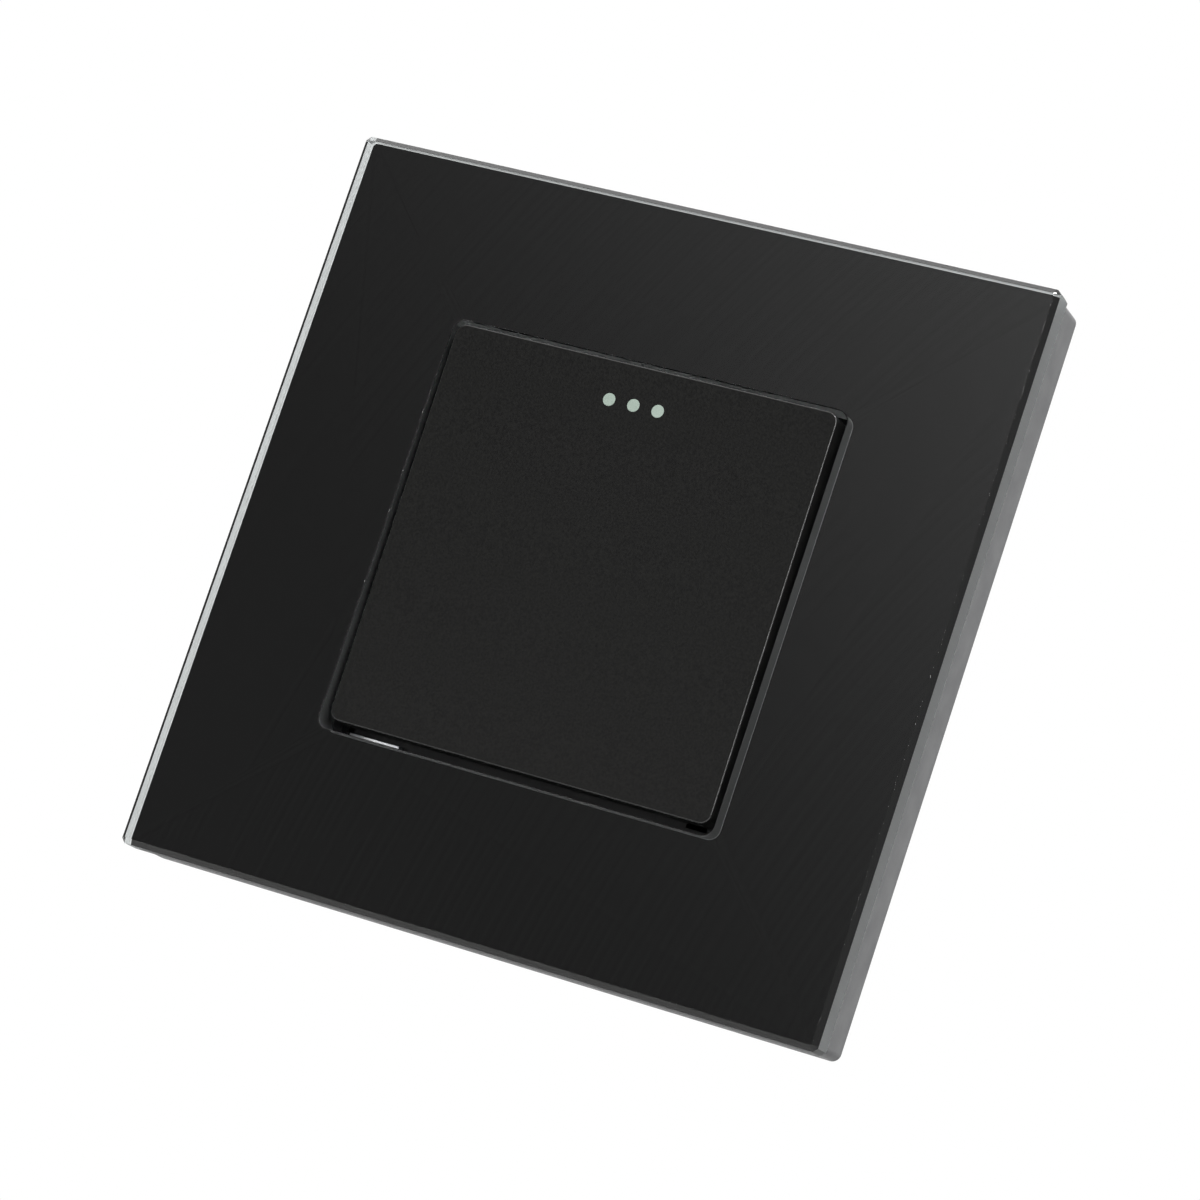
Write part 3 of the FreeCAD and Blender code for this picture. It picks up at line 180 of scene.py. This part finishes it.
def finish(name, colour, second, rough, rougher, grain, depth, metallic=0.0, patch=300.0, stretch=(1, 1, 1)):
    """A material whose colour and roughness drift in patches, under a fine raised grain."""
    material = bpy.data.materials.new(name)
    material.use_nodes = True
    tree = material.node_tree
    shader = tree.nodes["Principled BSDF"]
    place = tree.nodes.new("ShaderNodeTexCoord").outputs["Object"]
    turned = wire(tree, "ShaderNodeMapping", {"Vector": place, "Scale": stretch}).outputs[0]
    patches = wire(tree, "ShaderNodeTexNoise", {"Vector": turned, "Scale": patch, "Detail": 4.0}).outputs[0]
    tones = {0: ramp(tree, patches, 0.3, 0.7, 0.0, 1.0), 6: (*colour, 1), 7: (*second, 1)}
    mixed = wire(tree, "ShaderNodeMix", tones, data_type="RGBA")
    tree.links.new(mixed.outputs[2], shader.inputs["Base Color"])
    tree.links.new(ramp(tree, patches, 0.25, 0.75, rough, rougher), shader.inputs["Roughness"])
    grains = wire(tree, "ShaderNodeTexNoise", {"Vector": turned, "Scale": grain, "Detail": 3.0}).outputs[0]
    bump = wire(tree, "ShaderNodeBump", {"Height": grains, "Distance": depth, "Strength": 1.0})
    tree.links.new(bump.outputs[0], shader.inputs["Normal"])
    shader.inputs["Metallic"].default_value = metallic
    return material


def place_piece(shape, name, body, materials, edge):
    """The finished mesh as a piece on its body, with a small round on its sharp edges."""
    mesh = bpy.data.meshes.new(name)
    shape.to_mesh(mesh)
    shape.free()
    mesh.shade_smooth()
    piece = bpy.data.objects.new(name, mesh)
    bpy.context.scene.collection.objects.link(piece)
    for material in materials:
        mesh.materials.append(material)
    bevel = piece.modifiers.new("edge", "BEVEL")
    bevel.width = edge
    bevel.segments = 2
    bevel.limit_method = "ANGLE"
    bevel.angle_limit = math.radians(30)
    smoothing = piece.modifiers.new("smoothing", "WEIGHTED_NORMAL")
    smoothing.weight = 100
    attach(piece, body)
    return piece


def cad_shape(node):
    """The CAD piece as one welded mesh with whole flat faces."""
    shape = bmesh.new()
    shape.from_mesh(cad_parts[node].data)
    bmesh.ops.remove_doubles(shape, verts=shape.verts, dist=0.001 * MM)
    bmesh.ops.dissolve_limit(shape, angle_limit=math.radians(0.5), verts=shape.verts, edges=shape.edges)
    return shape


def softened(node, name, edge, body, material):
    """A copy of a CAD piece whose sharp edges get the small round that moulding or pressing leaves."""
    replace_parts(place_piece(cad_shape(node), name, body, [material], edge), node)


zinc = finish("bright_zinc", (0.70, 0.71, 0.72), (0.66, 0.67, 0.70), 0.25, 0.32, 2500, 0.0015 * MM,
              metallic=1.0, patch=500)


def add_block(shape, start, end, front, back, low, high, row, lean=0.0):
    """A block between these limits, below the middle or above it by row, that may lean about its middle."""
    block = bmesh.ops.create_cube(shape, size=1)["verts"]
    bmesh.ops.scale(shape, verts=block, vec=(end - start, back - front, high - low))
    bmesh.ops.rotate(shape, verts=block, matrix=Matrix.Rotation(-row * lean, 3, "X"))
    middle = ((start + end) / 2, (front + back) / 2, row * (low + high) / 2)
    bmesh.ops.translate(shape, verts=block, vec=middle)


TAB_EDGE = 23.75 * MM
TAB_FRONT, TAB_BEND, TAB_ROOT = -2.6 * MM, -1.5 * MM, -0.2 * MM
LEFT_TAB = (-23.3 * MM, -16.95 * MM, 23.26 * MM)
TAB_NECK = -18.5 * MM
TAB_LEAN = math.radians(6.5)
RIGHT_TAB = (20.9 * MM, 22.5 * MM, 23.26 * MM)
sheet = cad_shape("mounting_yoke")
for row in (-1, 1):
    start, end, low = LEFT_TAB
    add_block(sheet, start, end, TAB_FRONT, TAB_BEND, low, TAB_EDGE, row, TAB_LEAN)
    add_block(sheet, start, TAB_NECK, TAB_BEND, TAB_ROOT, low, TAB_EDGE, row)
    start, end, low = RIGHT_TAB
    add_block(sheet, start, end, TAB_BEND, TAB_ROOT, low, TAB_EDGE, row)
bmesh.ops.recalc_face_normals(sheet, faces=sheet.faces)
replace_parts(place_piece(sheet, "yoke", "root", [zinc], 0.08 * MM), "mounting_yoke")

# The switch module is two black heat-proof mouldings. The cover lies in the yoke's window from the front
# and carries the bearings, with thin wings over the yoke. The base closes it from behind with four long
# screws.
module_black = finish("module_black", (0.02, 0.02, 0.02), (0.027, 0.027, 0.028), 0.38, 0.5, 6000, 0.01 * MM)
WING_FRONT, WING_BACK, WING_TOP = -1.38 * MM, -0.83 * MM, 21.9 * MM
# Each wing has its two ends across and its outer edge, in millimetres.
WINGS = ((-24.1, -17.0, 23.22), (-24.1, -23.33, 23.9), (17.0, 24.1, 23.22), (17.0, 20.87, 23.9),
         (22.53, 24.1, 23.9))
cover_shape = cad_shape("module_cover")
for start, end, edge in WINGS:
    for row in (-1, 1):
        add_block(cover_shape, start * MM, end * MM, WING_FRONT, WING_BACK, WING_TOP, edge * MM, row)
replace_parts(place_piece(cover_shape, "cover", "root", [module_black], 0.1 * MM), "module_cover")
softened("module_base", "base", 0.2 * MM, "root", module_black)
steel = finish("screw_steel", (0.62, 0.62, 0.6), (0.52, 0.52, 0.52), 0.25, 0.4, 3000, 0.003 * MM, metallic=1)
softened("module_screws", "long_screws", 0.1 * MM, "root", steel)

# The conductors are stamped brass strips that end in clamp cages with steel screws. The contacts on the
# two outer strips and at both ends of the blade are riveted silver.
brass = finish("stamped_brass", (0.78, 0.57, 0.26), (0.66, 0.45, 0.20), 0.24, 0.42, 2500, 0.004 * MM,
               metallic=1.0, patch=200, stretch=(1, 1, 5))
silver = finish("contact_silver", (0.82, 0.81, 0.78), (0.70, 0.69, 0.66), 0.2, 0.35, 3000, 0.003 * MM,
                metallic=1.0)
for node in ("common_strip", "upper_strip", "lower_strip", "common_cage", "upper_cage", "lower_cage"):
    softened(node, node + "_brass", 0.08 * MM, "root", brass)
for node in ("upper_fixed_contact", "lower_fixed_contact"):
    softened(node, node + "_silver", 0.1 * MM, "root", silver)
softened("terminal_screws", "clamp_screws", 0.1 * MM, "root", steel)
softened("contact_blade", "blade_brass", 0.08 * MM, "blade", brass)
for node in ("upper_moving_contact", "lower_moving_contact"):
    softened(node, node + "_silver", 0.1 * MM, "blade", silver)

# The arm and the plunger between key and contacts are pale acetal, which slides without grease. The steel
# spring sits between them. The carrier under the key is black.
acetal = finish("pale_acetal", (0.78, 0.77, 0.72), (0.72, 0.71, 0.66), 0.34, 0.46, 5000, 0.004 * MM)
softened("swing_arm", "arm", 0.1 * MM, "swing", acetal)
softened("plunger", "plunger_cup", 0.08 * MM, "plunger", acetal)
coil = cad_shape("plunger_spring")
spring = place_piece(coil, "spring", "swing", [steel], 0.01 * MM)
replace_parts(spring, "plunger_spring")
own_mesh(spring)
carrier_black = finish("carrier_black", (0.026, 0.026, 0.027), (0.034, 0.034, 0.035), 0.35, 0.46, 6000,
                       0.008 * MM)
softened("rocker_carrier", "carrier", 0.12 * MM, "rocker", carrier_black)

# The key is moulded in black plastic with a fine matt grain, worn smooth on its rounded edges and dull on
# its skirt. Three pale studs of one insert show in it.
GRAINED, WORN, DULL = range(3)
# A skirt face is turned no further to the room than this, and a flat face points this well along an axis.
SKIRT_TURN = -0.1
FLAT_TURN = 0.97
BLACK, SECOND_BLACK = (0.0004, 0.0004, 0.0003), (0.0042, 0.0042, 0.0036)
key_black = finish("key_black", BLACK, SECOND_BLACK, 0.33, 0.45, 4200, 0.03 * MM, patch=3600)
key_black.node_tree.nodes["Principled BSDF"].inputs["Specular IOR Level"].default_value = 0.235
worn_black = finish("worn_black", BLACK, SECOND_BLACK, 0.14, 0.2, 3600, 0.004 * MM)
worn_black.node_tree.nodes["Principled BSDF"].inputs["Specular IOR Level"].default_value = 0.8
skirt_black = finish("skirt_black", BLACK, SECOND_BLACK, 0.7, 0.8, 3600, 0.02 * MM)
skirt_black.node_tree.nodes["Principled BSDF"].inputs["Specular IOR Level"].default_value = 0.2
key_shape = cad_shape("rocker_key")
for face in key_shape.faces:
    if face.normal.y > SKIRT_TURN:
        face.material_index = DULL
    elif max(abs(part) for part in face.normal) < FLAT_TURN:
        face.material_index = WORN
    else:
        face.material_index = GRAINED
key_skins = [key_black, worn_black, skirt_black]
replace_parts(place_piece(key_shape, "key", "rocker", key_skins, 0.06 * MM), "rocker_key")
pale = finish("pale_luminous", (0.29, 0.36, 0.31), (0.34, 0.41, 0.36), 0.3, 0.4, 5000, 0.004 * MM)
softened("dot_insert", "dots", 0.04 * MM, "rocker", pale)

# The frame is moulded in black plastic, as wide as the glass but for a hair, and clips to the yoke. A thin
# black film bonds the glass to it, and the print lies on the back of the glass.
frame_black = finish("frame_black", (0.030, 0.031, 0.033), (0.036, 0.037, 0.040), 0.4, 0.5, 5200, 0.014 * MM)
softened("panel_frame", "surround", 0.15 * MM, "root", frame_black)
tape_black = finish("tape_black", (0.02, 0.02, 0.02), (0.03, 0.03, 0.03), 0.6, 0.7, 3000, 0.01 * MM)
for node in ("adhesive_tape", "back_print"):
    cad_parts[node].data.materials.clear()
    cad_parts[node].data.materials.append(tape_black)

# The panel is clear glass, cut square with a small clip at each corner. Its front and front bevel are
# polished, its sides, its back bevel and the cut-out are ground satin, and black ink covers its back.
# The top and bottom sides, the corner clips and the back bevel get a darker tone than the rest of the
# ground glass, which is painted shade.
INK_MARGIN = 0.04 * MM
CUTOUT_REACH = 26 * MM
# The cut-out's top wall gets a more translucent copy of the ground glass so it reads lighter, which is
# painted light.
POLISHED, SHADED_SATIN_EDGE, GROUND, INK, FROSTED_SIDE, LIT_FROSTED_CUTOUT = range(6)
# A face counts as back, front, top or side where this much of its normal points that way.
BACK_TURN = 0.99
HALF_TURN = 0.5
SIDE_TURN = 0.9
SMEARED = 0.985


def glass(name, rough, rougher, tone, clearness):
    """Glass whose gloss drifts a little, clear where it is polished and milky where it is ground."""
    material = bpy.data.materials.new(name)
    material.use_nodes = True
    tree = material.node_tree
    shader = tree.nodes["Principled BSDF"]
    place = tree.nodes.new("ShaderNodeTexCoord").outputs["Object"]
    smears = wire(tree, "ShaderNodeTexNoise", {"Vector": place, "Scale": 60.0, "Detail": 5.0}).outputs[0]
    tree.links.new(ramp(tree, smears, 0.4, 0.8, rough, rougher), shader.inputs["Roughness"])
    tones = {0: smears, 6: (*tone, 1), 7: (*[SMEARED * part for part in tone], 1)}
    mixed = wire(tree, "ShaderNodeMix", tones, data_type="RGBA")
    tree.links.new(mixed.outputs[2], shader.inputs["Base Color"])
    shader.inputs["Transmission Weight"].default_value = clearness
    shader.inputs["IOR"].default_value = 1.52
    return material


def frosted(material, share, tone):
    """The same glass under a ground skin that lets a share of the light through in all directions."""
    tree = material.node_tree
    skin = wire(tree, "ShaderNodeBsdfTranslucent", {"Color": (*tone, 1)}).outputs[0]
    clear = tree.nodes["Principled BSDF"].outputs[0]
    mixed = wire(tree, "ShaderNodeMixShader", {0: share, 1: clear, 2: skin}).outputs[0]
    tree.links.new(mixed, tree.nodes["Material Output"].inputs["Surface"])
    return material


skins = [
    glass("polished_glass", 0.0, 0.02, (0.97, 0.99, 0.985), 1.0),
    # Painted shade: this satin glass is given a darker tone than the other ground glass.
    glass("shaded_satin_edge_glass", 0.62, 0.72, (0.42, 0.44, 0.44), 0.94),
    glass("ground_glass", 0.42, 0.50, (0.84, 0.87, 0.87), 0.945),
    finish("printed_ink", (0.0008, 0.0008, 0.0008), (0.0012, 0.0012, 0.0012), 0.5, 0.6, 3000, 0.0002 * MM),
    frosted(glass("frosted_side_glass", 0.62, 0.72, (0.92, 0.95, 0.96), 0.90), 0.46, (0.90, 0.93, 0.93)),
    # Painted light: a more translucent copy of the ground glass, for the cut-out's top wall only.
    frosted(glass("lit_frosted_cutout_glass", 0.42, 0.50, (0.84, 0.87, 0.87), 0.93), 0.12, (0.90, 0.93, 0.93)),
]
pane = cad_shape("glass_panel")
printed = [face for face in pane.faces if face.normal.y > BACK_TURN]
bmesh.ops.inset_region(pane, faces=printed, thickness=INK_MARGIN, use_even_offset=True, use_boundary=True)
for face in pane.faces:
    middle = face.calc_center_bounds()
    if face in printed:
        face.material_index = INK
    elif face.normal.y < -HALF_TURN:
        face.material_index = POLISHED
    elif max(abs(middle.x), abs(middle.z)) < CUTOUT_REACH:
        # Painted light: the cut-out's top wall takes the lighter copy, its other walls the ground glass.
        face.material_index = LIT_FROSTED_CUTOUT if face.normal.z < -HALF_TURN else GROUND
    elif abs(face.normal.x) > SIDE_TURN:
        face.material_index = FROSTED_SIDE
    else:
        # Painted shade: the top and bottom sides, corner clips and back bevel take the darker satin glass.
        face.material_index = SHADED_SATIN_EDGE
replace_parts(place_piece(pane, "glass", "root", skins, 0.03 * MM), "glass_panel")
